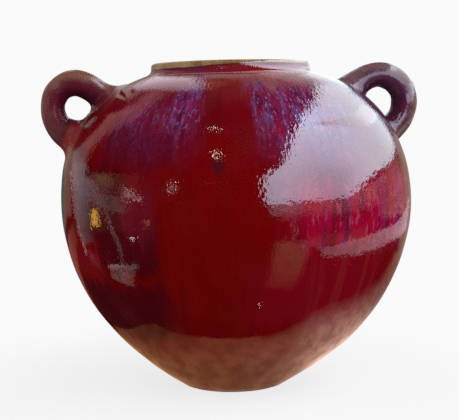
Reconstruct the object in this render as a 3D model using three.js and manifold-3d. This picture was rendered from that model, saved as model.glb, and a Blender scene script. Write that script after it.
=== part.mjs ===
// Two-handled globular jar in glazed stoneware, hand thrown and luted together.
// Millimetres, +Z up. The origin is on the standing surface, below the middle
// of the jar's overall box; the handles lie along X.
//
// The jar is thrown in two halves joined at the belly, with a turned foot, a
// short upright collar, a rounded lip and two pulled loop handles whose flared
// ends are pressed onto the shoulder. Each of those clay pieces is a solid of
// its own here, a hairline apart from its neighbours.

import * as THREE from 'three';
import { mergeVertices } from 'three/addons/utils/BufferGeometryUtils.js';
import Module from 'manifold-3d';

// ---------------------------------------------------------------- dimensions
const GAP = 0.3;              // hairline between luted pieces
const SEGMENTS = 60;          // facets round the jar
const Z_FOOT = 3.2;           // top of the turned foot ring
const Z_BELLY = 150.0;        // luted joint between the two thrown halves
const Z_NECK = 244.9;         // opening of the shoulder dome, where the collar sits
const Z_LIP = 251.4;          // top of the collar, below the rounded lip
const Z_TOP = 255.5;          // overall height
const R_FOOT_IN = 30.5;       // recess inside the foot ring
const R_FOOT_FLAT = 36.6;     // outer edge of the flat standing face
const R_MOUTH = 57.2;         // clear radius of the mouth
const R_COLLAR = 63.0;        // outside of the lip
const R_FACE = 63.05;         // outside of the collar's upright face
const FLOOR = 8.0;            // clay thickness of the jar's floor
const WALL_LOW = 6.4;         // wall thickness near the foot
const WALL_TOP = 5.2;         // wall thickness at the shoulder
const X_MIDDLE = -1.3;        // the belly's axis, measured from the box's middle

// outside radius of the jar by height (height, radius)
const OUTSIDE = [
  [0.0, 38.2], [4.0, 44.8], [10.0, 54.2], [20.0, 68.7], [35.0, 86.9],
  [50.0, 101.1], [70.0, 115.8], [95.0, 128.2], [120.0, 135.4], [140.0, 138.1],
  [160.0, 137.7], [180.0, 134.4], [200.0, 126.7], [215.0, 116.9],
  [228.0, 103.7], [238.0, 88.2], [246.4, 66.8],
];

// Hand-thrown lean: the jar's axis wanders a few millimetres along X with
// height (height, offset).
const LEAN = [
  [0.0, -3.9], [10.0, -3.3], [20.0, -2.0], [30.0, -1.0], [40.0, -0.5], [50.0, -0.3],
  [70.0, -0.15], [90.0, 0.0], [120.0, 0.4], [147.0, 0.5], [165.0, 0.2], [182.0, -0.2],
  [200.0, -0.35], [215.0, -0.4], [228.0, 0.1], [238.0, 0.4], [247.0, -1.4], [258.0, -1.8],
];

// Handle centrelines in the plane through the jar's axis:
// distance out from the belly's axis, height, radius of the pulled clay there.
const HANDLE_LEFT = [
  [116.0, 193.0, 12.8], [127.6, 200.3, 12.9], [138.1, 207.8, 10.3], [142.6, 222.3, 9.0],
  [138.4, 235.3, 9.7], [125.6, 242.0, 10.3], [112.9, 237.4, 9.9], [102.6, 229.5, 11.0],
  [92.6, 224.6, 13.0],
];
const HANDLE_RIGHT = [
  [115.2, 192.6, 12.1], [128.0, 200.1, 12.0], [138.4, 209.1, 10.2], [142.6, 224.8, 10.5],
  [137.4, 238.3, 10.8], [122.6, 245.6, 10.1], [108.6, 242.4, 10.1], [97.8, 234.4, 12.1],
  [87.0, 226.0, 13.4],
];
const HANDLE_SIDES = 14;
const HANDLE_STEPS = 30;

// ------------------------------------------------------------------- helpers
const outsideCurve = new THREE.SplineCurve(OUTSIDE.map(([z, r]) => new THREE.Vector2(r, z)));
const outsideFine = outsideCurve.getPoints(1600);

function outsideRadius(z) {
  for (let i = 1; i < outsideFine.length; i++) {
    const a = outsideFine[i - 1], b = outsideFine[i];
    if (z <= b.y) return a.x + (b.x - a.x) * (z - a.y) / (b.y - a.y);
  }
  return outsideFine[outsideFine.length - 1].x;
}

const leanFine = new THREE.SplineCurve(LEAN.map(([z, x]) => new THREE.Vector2(x, z))).getPoints(1000);

function lean(z) {
  for (let i = 1; i < leanFine.length; i++) {
    const a = leanFine[i - 1], b = leanFine[i];
    if (z <= b.y) return X_MIDDLE + a.x + (b.x - a.x) * (z - a.y) / (b.y - a.y);
  }
  return X_MIDDLE + leanFine[leanFine.length - 1].x;
}

// A point on the outside moved square to the surface by d (inwards is negative).
function offsetPoint(z, d) {
  const e = 0.4;
  const slope = (outsideRadius(z + e) - outsideRadius(z - e)) / (2 * e);
  const n = Math.hypot(1, slope);
  return new THREE.Vector2(outsideRadius(z) + d / n, z - d * slope / n);
}

const wallAt = (z) => WALL_LOW + (WALL_TOP - WALL_LOW) * Math.min(1, z / 200);

// Turn a closed half-section (radius, height) about the jar's axis, stand it up
// and give it the hand-thrown lean.
function turned(points, segments = SEGMENTS) {
  const g = new THREE.LatheGeometry(points, segments);
  g.rotateX(Math.PI / 2);
  const p = g.attributes.position;
  for (let i = 0; i < p.count; i++) p.setX(i, p.getX(i) + lean(p.getZ(i)));
  return closed(g);
}

// Keep positions only, merge the shared vertices, drop collapsed triangles and
// make the faces point outwards.
function closed(geometry) {
  geometry.deleteAttribute('normal');
  geometry.deleteAttribute('uv');
  const g = mergeVertices(geometry, 1e-4);
  const p = g.attributes.position, idx = g.index.array, keep = [];
  const a = new THREE.Vector3(), b = new THREE.Vector3(), c = new THREE.Vector3();
  let volume = 0;
  for (let i = 0; i < idx.length; i += 3) {
    const [u, v, w] = [idx[i], idx[i + 1], idx[i + 2]];
    if (u === v || v === w || u === w) continue;
    keep.push(u, v, w);
    a.fromBufferAttribute(p, u); b.fromBufferAttribute(p, v); c.fromBufferAttribute(p, w);
    volume += a.dot(b.cross(c)) / 6;
  }
  if (volume < 0) for (let i = 0; i < keep.length; i += 3) [keep[i + 1], keep[i + 2]] = [keep[i + 2], keep[i + 1]];
  g.setIndex(keep);
  return g;
}

const wasm = await Module();
wasm.setup();

function toSolid(g) {
  return new wasm.Manifold(new wasm.Mesh({
    numProp: 3,
    vertProperties: new Float32Array(g.attributes.position.array),
    triVerts: new Uint32Array(g.index.array),
  }));
}

function toGeometry(solid) {
  const m = solid.getMesh();
  const g = new THREE.BufferGeometry();
  g.setAttribute('position', new THREE.BufferAttribute(new Float32Array(m.vertProperties), 3));
  g.setIndex(new THREE.BufferAttribute(new Uint32Array(m.triVerts), 1));
  return g;
}

// ------------------------------------------------------------- the clay pieces
// Foot ring: carries on the bowl's outline down to a flat standing face, with a
// turned recess inside it.
function footRing() {
  const top = Z_FOOT;
  return turned([
    new THREE.Vector2(R_FOOT_IN, 0.9),
    new THREE.Vector2(R_FOOT_IN + 0.9, 0.0),
    new THREE.Vector2(R_FOOT_FLAT, 0.0),
    new THREE.Vector2(R_FOOT_FLAT + 1.5, 0.35),
    new THREE.Vector2(outsideRadius(1.1), 1.1),
    new THREE.Vector2(outsideRadius(top), top),
    new THREE.Vector2(R_FOOT_IN - 0.6, top),
    new THREE.Vector2(R_FOOT_IN, 0.9),
  ]);
}

// Lower thrown half: thick floor, wall swelling to the belly joint.
function lowerBowl() {
  const z0 = Z_FOOT + GAP, z1 = Z_BELLY - GAP / 2;
  const heights = [z0, 8, 14, 22, 32, 44, 58, 74, 92, 111, 131, z1];
  const outer = heights.map((z) => new THREE.Vector2(outsideRadius(z), z));
  const inner = [131, 111, 92, 74, 58, 44, 32, 23].map((z) => offsetPoint(z, -wallAt(z)));
  const floorZ = z0 + FLOOR;
  return turned([
    new THREE.Vector2(0, z0),
    ...outer,
    new THREE.Vector2(outsideRadius(z1) - wallAt(z1), z1),
    ...inner,
    new THREE.Vector2(50.5, floorZ + 5.4),
    new THREE.Vector2(41.0, floorZ + 1.3),
    new THREE.Vector2(26.0, floorZ),
    new THREE.Vector2(0, floorZ),
  ]);
}

// Upper thrown half: the shoulder dome, open at the neck.
function upperDome() {
  const z0 = Z_BELLY + GAP / 2, z1 = Z_NECK;
  const heights = [z0, 165, 179, 191, 201, 210, 218, 225, 231, 236, 239.5, 242.5, z1];
  const outer = heights.map((z) => new THREE.Vector2(outsideRadius(z), z));
  const inner = [240, 233, 225, 216, 206, 194, 180, 165].map((z) => offsetPoint(z, -wallAt(z)));
  const start = new THREE.Vector2(outsideRadius(z0), z0);
  return turned([
    ...outer,
    new THREE.Vector2(R_MOUTH + 0.5, z1),
    new THREE.Vector2(R_MOUTH + 0.7, z1 - 2.6),
    ...inner,
    new THREE.Vector2(outsideRadius(z0) - wallAt(z0), z0),
    start,
  ]);
}

// Collar: a short wall that rises from the shoulder in a flared cove.
function neckCollar() {
  const z0 = Z_NECK + GAP, z1 = Z_LIP;
  const foot = outsideRadius(z0);
  return turned([
    new THREE.Vector2(R_MOUTH + 0.4, z0),
    ...[[0.97, 0], [0.72, 0.6], [0.46, 1.45], [0.245, 2.5], [0.11, 3.75], [0.034, 5.1]].map(
      ([f, rise]) => new THREE.Vector2(R_FACE + (foot - R_FACE) * f, z0 + rise)),
    new THREE.Vector2(R_FACE, z1),
    new THREE.Vector2(R_MOUTH + 0.1, z1),
    new THREE.Vector2(R_MOUTH + 0.4, z0),
  ]);
}

// Lip: the rounded rim of the mouth.
function rimLip() {
  const z0 = Z_LIP + GAP, z1 = Z_TOP;
  const mid = (R_COLLAR + R_MOUTH) / 2;
  return turned([
    new THREE.Vector2(R_MOUTH + 0.1, z0),
    new THREE.Vector2(R_FACE, z0),
    new THREE.Vector2(R_COLLAR, z0 + 1.2),
    new THREE.Vector2(R_COLLAR - 0.39, z0 + 2.5),
    new THREE.Vector2(R_COLLAR - 1.25, z1 - 0.4),
    new THREE.Vector2(mid + 0.6, z1),
    new THREE.Vector2(mid - 0.6, z1),
    new THREE.Vector2(R_MOUTH + 1.25, z1 - 0.4),
    new THREE.Vector2(R_MOUTH + 0.39, z0 + 2.5),
    new THREE.Vector2(R_MOUTH, z0 + 1.2),
    new THREE.Vector2(R_MOUTH + 0.1, z0),
  ]);
}

// The outside of the jar, swollen by the hairline gap: it trims the handle ends.
function handleTrimmer() {
  const heights = [3.5, 60, 111, 131, 149.85, 150.15, 165, 179, 191, 201, 210, 218, 225, 231, 236, 239.5, 242.5, 244.9, 246.2];
  const outer = heights.map((z) => {
    const q = offsetPoint(z, GAP);
    return new THREE.Vector2(q.x, q.y);
  });
  return toSolid(turned([
    new THREE.Vector2(0, outer[0].y), ...outer, new THREE.Vector2(0, outer[outer.length - 1].y),
  ]));
}

// Loop handle: a pulled roll of clay along its centreline, thicker at its ends,
// trimmed to sit on the shoulder.
function loopHandle(stations, side) {
  const path = new THREE.CatmullRomCurve3(
    stations.map(([out, z]) => new THREE.Vector3(X_MIDDLE + side * out, 0, z)), false, 'centripetal');
  const base = 10;
  const section = new THREE.Shape();
  section.absarc(0, 0, base, 0, 2 * Math.PI, false);
  const g = new THREE.ExtrudeGeometry(section, {
    steps: HANDLE_STEPS, extrudePath: path, curveSegments: HANDLE_SIDES, bevelEnabled: false,
  });
  // radius of the roll at each ring, from the stations
  const centres = path.getSpacedPoints(HANDLE_STEPS);
  const n = stations.length - 1, fine = 600;
  const trail = [];
  for (let i = 0; i <= fine; i++) trail.push(path.getPoint(i / fine));
  const radii = centres.map((c) => {
    let best = 0, d = Infinity;
    trail.forEach((q, i) => { const e = q.distanceToSquared(c); if (e < d) { d = e; best = i; } });
    const t = best / fine * n, k = Math.min(n - 1, Math.floor(t)), f = t - k;
    const s = f * f * (3 - 2 * f);
    return stations[k][2] * (1 - s) + stations[k + 1][2] * s;
  });
  const p = g.attributes.position, v = new THREE.Vector3();
  for (let i = 0; i < p.count; i++) {
    v.fromBufferAttribute(p, i);
    let best = 0, d = Infinity;
    centres.forEach((c, k) => { const e = c.distanceToSquared(v); if (e < d) { d = e; best = k; } });
    v.sub(centres[best]).multiplyScalar(radii[best] / base).add(centres[best]);
    p.setXYZ(i, v.x, v.y, v.z);
  }
  return toGeometry(toSolid(closed(g)).subtract(handleTrimmer()));
}

// ------------------------------------------------------------------ the model
const glaze = (color, roughness) => new THREE.MeshStandardMaterial({ color, roughness, metalness: 0 });

const jar = new THREE.Group();
jar.name = 'two_handled_jar';

function piece(name, geometry, material) {
  const mesh = new THREE.Mesh(geometry, material);
  mesh.name = name;
  jar.add(mesh);
}

piece('foot_ring', footRing(), glaze(0x8a5a40, 0.65));
piece('lower_bowl', lowerBowl(), glaze(0x6e0406, 0.12));
piece('upper_dome', upperDome(), glaze(0x5c0826, 0.12));
piece('neck_collar', neckCollar(), glaze(0x6a0a22, 0.14));
piece('rim_lip', rimLip(), glaze(0x8a7650, 0.2));
piece('handle_left', loopHandle(HANDLE_LEFT, -1), glaze(0x50102a, 0.12));
piece('handle_right', loopHandle(HANDLE_RIGHT, 1), glaze(0x4a1030, 0.12));

export default jar;
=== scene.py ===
# Two-handled globular jar in glazed stoneware: finished surfaces, stage, light
# and camera. Metres, row frame (+Z up, origin on the standing surface).
import math

import bpy
import numpy as np
from mathutils import Matrix, Vector


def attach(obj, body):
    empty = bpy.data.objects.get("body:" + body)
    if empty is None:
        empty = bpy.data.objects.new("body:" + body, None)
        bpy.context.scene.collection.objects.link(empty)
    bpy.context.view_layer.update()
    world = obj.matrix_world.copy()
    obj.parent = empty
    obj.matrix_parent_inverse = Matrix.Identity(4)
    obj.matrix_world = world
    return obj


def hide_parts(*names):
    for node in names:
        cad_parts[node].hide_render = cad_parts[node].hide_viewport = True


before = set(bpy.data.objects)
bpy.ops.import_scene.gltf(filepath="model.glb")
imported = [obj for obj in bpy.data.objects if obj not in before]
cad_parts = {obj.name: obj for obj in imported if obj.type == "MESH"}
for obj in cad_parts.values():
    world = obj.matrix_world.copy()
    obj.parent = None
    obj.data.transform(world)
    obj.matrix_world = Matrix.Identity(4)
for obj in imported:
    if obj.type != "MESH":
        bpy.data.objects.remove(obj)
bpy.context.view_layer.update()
MM = 0.001

# ------------------------------------------------------------------ dimensions
Z_FOOT, Z_BELLY, Z_NECK, Z_LIP, Z_TOP = 3.35, 150.0, 245.2, 251.7, 255.5
R_FOOT_IN, R_FOOT_FLAT, R_MOUTH, R_COLLAR = 30.5, 36.6, 57.2, 63.0
FLOOR, WALL_LOW, WALL_TOP, X_MIDDLE = 8.0, 6.4, 5.2, -1.3
OUTSIDE = [
    (0.0, 38.2), (4.0, 44.8), (10.0, 54.2), (20.0, 68.7), (35.0, 86.9),
    (50.0, 101.1), (70.0, 115.8), (95.0, 128.2), (120.0, 135.4), (140.0, 138.1),
    (160.0, 137.7), (180.0, 134.4), (200.0, 126.7), (215.0, 116.9),
    (228.0, 103.7), (238.0, 88.2), (246.4, 66.8),
]
LEAN = [
    (0.0, -3.9), (10.0, -3.3), (20.0, -2.0), (30.0, -1.0), (40.0, -0.5), (50.0, -0.3),
    (70.0, -0.15), (90.0, 0.0), (120.0, 0.4), (147.0, 0.5), (165.0, 0.2), (182.0, -0.2),
    (200.0, -0.35), (215.0, -0.4), (228.0, 0.1), (238.0, 0.4), (247.0, -1.4), (258.0, -1.8),
]
HANDLE_LEFT = [
    (116.0, 193.0, 12.8), (127.6, 200.3, 12.9), (138.1, 207.8, 10.3), (142.6, 222.3, 9.0),
    (138.4, 235.3, 9.7), (125.6, 242.0, 10.3), (112.9, 237.4, 9.9), (102.6, 229.5, 11.0),
    (92.6, 224.6, 13.0),
]
HANDLE_RIGHT = [
    (115.2, 192.6, 12.1), (128.0, 200.1, 12.0), (138.4, 209.1, 10.2), (142.6, 224.8, 10.5),
    (137.4, 238.3, 10.8), (122.6, 245.6, 10.1), (108.6, 242.4, 10.1), (97.8, 234.4, 12.1),
    (87.0, 226.0, 13.4),
]


def catmull(points, per):
    """Uniform Catmull-Rom through the points, as three.js SplineCurve makes it."""
    p = np.array(points, float)
    n = len(p) - 1
    out = []
    for k in range(n):
        a, b = p[max(k - 1, 0)], p[k]
        c, d = p[k + 1], p[min(k + 2, n)]
        for i in range(per):
            t = i / per
            v0, v1 = (c - a) * 0.5, (d - b) * 0.5
            out.append((2 * b - 2 * c + v0 + v1) * t ** 3 + (-3 * b + 3 * c - 2 * v0 - v1) * t * t + v0 * t + b)
    out.append(p[n])
    return np.array(out)


PROFILE = catmull(OUTSIDE, 60)
_grid = np.linspace(0.0, 250.0, 2501)
_rad = np.interp(_grid, PROFILE[:, 0], PROFILE[:, 1])
_rad = np.convolve(np.pad(_rad, 12, mode="edge"), np.ones(25) / 25, mode="valid")
_rad[:30] = np.interp(_grid[:30], PROFILE[:, 0], PROFILE[:, 1])
_rad[2440:] = np.interp(_grid[2440:], PROFILE[:, 0], PROFILE[:, 1])
_slope = np.gradient(_rad, _grid)


def radius(z):
    return np.interp(z, _grid, _rad)


def slope(z):
    return np.interp(z, _grid, _slope)


_lean = catmull(LEAN, 60)
_lean_z = np.linspace(0.0, 258.0, 2581)
_lean_x = np.interp(_lean_z, _lean[:, 0], _lean[:, 1])
_lean_x = np.convolve(np.pad(_lean_x, 40, mode="edge"), np.ones(81) / 81, mode="valid")


def lean(z):
    """Offset of the jar's axis along X: a few millimetres of hand-thrown wander."""
    return X_MIDDLE + np.interp(np.asarray(z, float), _lean_z, _lean_x)


def lean_slope(z):
    return (lean(np.asarray(z, float) + 0.2) - lean(np.asarray(z, float) - 0.2)) / 0.4


def wall(z):
    return WALL_LOW + (WALL_TOP - WALL_LOW) * min(1.0, z / 200.0)


def inside(z):
    n = math.hypot(1.0, slope(z))
    d = -wall(z)
    return (radius(z) + d / n, z - d * slope(z) / n)


# ---------------------------------------------------------------------- meshes
def mesh_object(name, verts, faces, normals=None, attributes=None):
    m = bpy.data.meshes.new(name)
    m.from_pydata([tuple(v) for v in verts], [], faces)
    m.update()
    for p in m.polygons:
        p.use_smooth = True
    for key, values in (attributes or {}).items():
        a = m.attributes.new(key, "FLOAT", "POINT")
        a.data.foreach_set("value", np.asarray(values, np.float32))
    if normals is not None:
        m.normals_split_custom_set([tuple(n) for n in normals])
    o = bpy.data.objects.new(name, m)
    bpy.context.scene.collection.objects.link(o)
    return o


def turned(name, profile, sharp=(), end_slopes=None, segments=256):
    """Closed half-section (r, z) in mm, run so that the outside goes up, turned
    about the jar's leaning axis. A corner listed in sharp keeps its edge."""
    end_slopes = end_slopes or {}
    pts = [np.array(p, float) for p in profile]
    n = len(pts)
    band = []
    for i in range(n):
        a, b = pts[i], pts[(i + 1) % n]
        d = b - a
        length = max(float(np.hypot(*d)), 1e-9)
        band.append((np.array([d[1], -d[0]]) / length, length))
    start_n, end_n = [], []
    for i in range(n):
        def corner(j):
            if j in end_slopes and (i == end_slopes[j][1]):
                s = end_slopes[j][0]
                return np.array([1.0, -s]) / math.hypot(1.0, s)
            if j in sharp:
                return band[i][0]
            q = band[(j - 1) % n][0] / band[(j - 1) % n][1] + band[j % n][0] / band[j % n][1]
            return q / max(np.hypot(*q), 1e-9)
        start_n.append(corner(i))
        end_n.append(corner((i + 1) % n))
    verts, faces, normals, index = [], [], [], []
    theta = np.arange(segments) * 2 * math.pi / segments
    cos, sin = np.cos(theta), np.sin(theta)
    for r, z in pts:
        if r < 1e-6:
            index.append([len(verts)])
            verts.append((float(lean(z)) * MM, 0.0, z * MM))
            continue
        index.append(list(range(len(verts), len(verts) + segments)))
        x = r * cos + float(lean(z))
        y = r * sin
        verts.extend(zip((x * MM).tolist(), (y * MM).tolist(), [z * MM] * segments))

    def turn(v, k, z):
        k %= segments
        w = np.array([v[0] * cos[k], v[0] * sin[k], v[1] - v[0] * float(lean_slope(z)) * cos[k]])
        return w / np.linalg.norm(w)

    for i in range(n):
        a, b = index[i], index[(i + 1) % n]
        if len(a) == 1 and len(b) == 1:
            continue
        za, zb = pts[i][1], pts[(i + 1) % n][1]
        for k in range(segments):
            l = (k + 1) % segments
            if len(a) == 1:
                faces.append((a[0], b[l], b[k]))
                normals += [turn(start_n[i], k, za), turn(end_n[i], l, zb), turn(end_n[i], k, zb)]
            elif len(b) == 1:
                faces.append((a[k], a[l], b[0]))
                normals += [turn(start_n[i], k, za), turn(start_n[i], l, za), turn(end_n[i], k, zb)]
            else:
                faces.append((a[k], a[l], b[l], b[k]))
                normals += [turn(start_n[i], k, za), turn(start_n[i], l, za),
                            turn(end_n[i], l, zb), turn(end_n[i], k, zb)]
    return mesh_object(name, verts, faces, normals)


SEG = 256
RINGS = 130

# Foot ring: bare clay, flat standing face, turned recess.
foot = turned("foot", [
    (R_FOOT_IN, 1.2), (R_FOOT_IN + 0.25, 0.5), (R_FOOT_IN + 0.9, 0.08), (R_FOOT_IN + 1.6, 0.0),
    (R_FOOT_FLAT - 0.4, 0.0), (R_FOOT_FLAT + 0.7, 0.12), (R_FOOT_FLAT + 1.6, 0.5),
    (float(radius(1.1)), 1.1), (float(radius(2.2)), 2.2), (float(radius(Z_FOOT)), Z_FOOT),
    (R_FOOT_IN - 0.6, Z_FOOT),
], sharp=(9, 10), segments=SEG)

# Lower thrown half.
zs = list(np.linspace(Z_FOOT, 30.0, RINGS // 3, endpoint=False)) + list(np.linspace(30.0, Z_BELLY, RINGS))
outer = [(float(radius(z)), float(z)) for z in zs]
inner = [inside(z) for z in np.linspace(146.0, 24.0, 36)]
floor_z = 3.5 + FLOOR
lower = turned("bowl_lower", [(0.0, Z_FOOT)] + outer + [
    (float(radius(Z_BELLY)) - wall(Z_BELLY), Z_BELLY)] + inner + [
    (56.5, floor_z + 8.2), (50.5, floor_z + 5.0), (46.0, floor_z + 3.0), (41.0, floor_z + 1.3),
    (34.0, floor_z + 0.4), (26.0, floor_z), (0.0, floor_z)],
    sharp=(0, 1, len(outer), len(outer) + 1),
    end_slopes={len(outer): (float(slope(Z_BELLY)), len(outer) - 1)}, segments=SEG)

# Upper thrown half: shoulder dome, open at the neck.
zs = list(np.linspace(Z_BELLY, 228.0, RINGS)) + list(np.linspace(228.6, Z_NECK, RINGS // 3))
outer = [(float(radius(z)), float(z)) for z in zs]
inner = [inside(z) for z in np.linspace(240.0, 154.0, 36)]
dome_n = len(outer)
upper = turned("shoulder_upper", outer + [
    (R_MOUTH + 0.5, Z_NECK), (R_MOUTH + 0.6, Z_NECK - 1.2), (R_MOUTH + 0.7, Z_NECK - 2.6)] + inner + [
    (float(radius(Z_BELLY)) - wall(Z_BELLY), Z_BELLY)],
    sharp=(0, dome_n - 1, dome_n, dome_n + 3 + len(inner)),
    end_slopes={0: (float(slope(Z_BELLY)), 0)}, segments=SEG)

# Collar with its cove, then the rounded lip.
rn = float(radius(Z_NECK))
R_FACE = R_COLLAR + 0.05
cove = [(R_FACE + (rn - R_FACE) * f, Z_NECK + rise) for f, rise in (
    (1.0, 0.0), (0.86, 0.25), (0.72, 0.60), (0.585, 1.00), (0.46, 1.45), (0.345, 1.95), (0.245, 2.50), (0.170, 3.10),
    (0.110, 3.75), (0.066, 4.40), (0.034, 5.10), (0.012, 5.80), (0.0, Z_LIP - Z_NECK))]
collar = turned("collar", [(R_MOUTH + 0.4, Z_NECK)] + cove + [(R_MOUTH + 0.25, Z_LIP)],
                sharp=(0, 1, len(cove), len(cove) + 1), segments=SEG)

lip_pts = [(R_FACE, Z_LIP), (R_FACE, Z_LIP + 0.6)]
for t in np.linspace(0, 180, 28):
    c_, s_ = math.cos(math.radians(t)), math.sin(math.radians(t))
    lip_pts.append((60.1 + (R_COLLAR - 60.1) * math.copysign(abs(c_) ** 0.95, c_), Z_LIP + 1.2 + (Z_TOP - Z_LIP - 1.2) * abs(s_) ** 0.95))
lip_pts += [(R_MOUTH - 0.05, Z_LIP + 0.6), (R_MOUTH + 0.25, Z_LIP)]
lip = turned("lip", lip_pts, sharp=(0, len(lip_pts) - 1), segments=SEG)


# Handles: pulled rolls whose roots are smoothed into the shoulder.
def centripetal(points, fine):
    p = np.array([(q[0], q[1]) for q in points], float)
    rr = np.array([q[2] for q in points], float)
    n = len(p) - 1
    ext = np.vstack([2 * p[0] - p[1], p, 2 * p[n] - p[n - 1]])
    pos, rad = [], []
    for k in range(n):
        a, b, c, d = ext[k], ext[k + 1], ext[k + 2], ext[k + 3]
        t0 = 0.0
        t1 = t0 + np.linalg.norm(b - a) ** 0.5
        t2 = t1 + np.linalg.norm(c - b) ** 0.5
        t3 = t2 + np.linalg.norm(d - c) ** 0.5
        for i in range(fine + (k == n - 1)):
            f = i / fine
            t = t1 + (t2 - t1) * f
            a1 = (t1 - t) / (t1 - t0) * a + (t - t0) / (t1 - t0) * b
            a2 = (t2 - t) / (t2 - t1) * b + (t - t1) / (t2 - t1) * c
            a3 = (t3 - t) / (t3 - t2) * c + (t - t2) / (t3 - t2) * d
            b1 = (t2 - t) / (t2 - t0) * a1 + (t - t0) / (t2 - t0) * a2
            b2 = (t3 - t) / (t3 - t1) * a2 + (t - t1) / (t3 - t1) * a3
            pos.append((t2 - t) / (t2 - t1) * b1 + (t - t1) / (t2 - t1) * b2)
            s = f * f * (3 - 2 * f)
            rad.append(rr[k] * (1 - s) + rr[k + 1] * s)
    return np.array(pos), np.array(rad)


def body_distance(p):
    """Signed distance to the jar's outside, near enough beside the shoulder (mm)."""
    z = p[..., 2]
    rho = np.hypot(p[..., 0] - lean(z), p[..., 1])
    return (rho - radius(z)) / np.hypot(1.0, slope(z))


def body_normal(p):
    z = p[..., 2]
    dx, dy = p[..., 0] - lean(z), p[..., 1]
    rho = np.maximum(np.hypot(dx, dy), 1e-9)
    v = np.stack([dx / rho, dy / rho, -slope(z) - lean_slope(z) * dx / rho], -1)
    return v / np.linalg.norm(v, axis=-1, keepdims=True)


def smooth_min(a, b, k):
    h = np.clip(0.5 + 0.5 * (b - a) / k, 0.0, 1.0)
    return b * (1 - h) + a * h - k * h * (1 - h)


def handle(name, stations, side, rings, sides, blend=7.5, sink=2.0):
    pos, rad = centripetal(stations, 200)
    arc = np.concatenate([[0], np.cumsum(np.linalg.norm(np.diff(pos, axis=0), axis=1))])
    even = np.linspace(0, arc[-1], 801)
    width = 4.0 / (even[1] - even[0])
    kernel = np.exp(-0.5 * (np.arange(-160, 161) / width) ** 2)
    kernel /= kernel.sum()

    def smooth(v):
        v = np.interp(even, arc, v)
        padded = np.concatenate([2 * v[0] - v[160:0:-1], v, 2 * v[-1] - v[-2:-162:-1]])
        return np.convolve(padded, kernel, mode="valid")

    pos = np.stack([smooth(pos[:, 0]), smooth(pos[:, 1])], 1)
    rad = smooth(rad)
    arc = np.concatenate([[0], np.cumsum(np.linalg.norm(np.diff(pos, axis=0), axis=1))])
    s = np.linspace(0, arc[-1], rings)
    cx_ = np.interp(s, arc, pos[:, 0])
    cz_ = np.interp(s, arc, pos[:, 1])
    rr = np.interp(s, arc, rad)
    # gentle unevenness of a pulled roll
    rr = rr * (1 + 0.012 * np.sin(s * 0.19 + side) + 0.008 * np.sin(s * 0.43 + 2 * side))
    tx, tz = np.gradient(cx_, s), np.gradient(cz_, s)
    tl = np.hypot(tx, tz)
    tx, tz = tx / tl, tz / tl
    phi = np.arange(sides) * 2 * math.pi / sides
    verts, crest_v, root_v = [], [], []
    # the fillet is tight inside the loop and full outside it
    fillet = blend * (0.96 + 0.06 * np.cos(phi))
    for i in range(rings):
        centre = np.array([X_MIDDLE + side * cx_[i], 0.0, cz_[i]])
        # the ring's own axes: outwards from the loop's middle, and across
        e1 = np.array([side * tz[i], 0.0, -tx[i]])
        e2 = np.array([0.0, 1.0, 0.0])
        u = np.cos(phi)[:, None] * e1 + np.sin(phi)[:, None] * e2
        lo = np.full(sides, rr[i] * 0.6)
        hi = rr[i] + fillet
        for _ in range(26):
            mid = (lo + hi) / 2
            p = centre + mid[:, None] * u
            d = smooth_min(mid - rr[i], body_distance(p), fillet)
            lo = np.where(d < 0, mid, lo)
            hi = np.where(d < 0, hi, mid)
        p = centre + ((lo + hi) / 2)[:, None] * u
        depth = body_distance(p)
        push = np.maximum(0.0, -sink - depth)
        for _ in range(3):
            p = p + body_normal(p) * push[:, None]
            depth = body_distance(p)
            push = np.maximum(0.0, -sink - depth)
        verts.append(p)
        # glaze runs thin on the outer crest and on the flared roots; the crest's low end, the loop's inner side, also
        # carries painted shade
        crest_v.append(0.5 + 0.5 * np.cos(phi))
        root_v.append(np.clip(1.0 - np.abs(body_distance(p)) / 9.0, 0, 1))
    allv = np.concatenate(verts)
    cv, rv = np.concatenate(crest_v), np.concatenate(root_v)
    faces = []
    for i in range(rings - 1):
        for k in range(sides):
            l = (k + 1) % sides
            q = (i * sides + k, i * sides + l, (i + 1) * sides + l, (i + 1) * sides + k)
            faces.append(q)
    n0 = len(allv)
    caps = []
    for i in (0, rings - 1):
        c = allv[i * sides:(i + 1) * sides].mean(0)[None]
        for _ in range(3):
            c = c + body_normal(c) * np.maximum(0.0, -sink - body_distance(c))[:, None]
        caps.append(c[0])
    allv = np.vstack([allv, caps])
    cv, rv = np.concatenate([cv, [0.0, 0.0]]), np.concatenate([rv, [1.0, 1.0]])
    for k in range(sides):
        l = (k + 1) % sides
        faces.append((n0, l, k))
        faces.append((n0 + 1, (rings - 1) * sides + k, (rings - 1) * sides + l))
    # outward faces
    tri = np.array([(f[0], f[j], f[j + 1]) for f in faces for j in range(1, len(f) - 1)])
    a, b, c = allv[tri[:, 0]], allv[tri[:, 1]], allv[tri[:, 2]]
    volume = float(np.einsum("ij,ij->i", a, np.cross(b, c)).sum() / 6)
    if volume < 0:
        faces = [tuple(reversed(f)) for f in faces]
    return mesh_object(name, allv * MM, faces, attributes={"crest": cv, "root": rv})


HR, HS = ((150, 64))
handle_l = handle("handle_l", HANDLE_LEFT, -1, HR, HS)
handle_r = handle("handle_r", HANDLE_RIGHT, 1, HR, HS)


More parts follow.
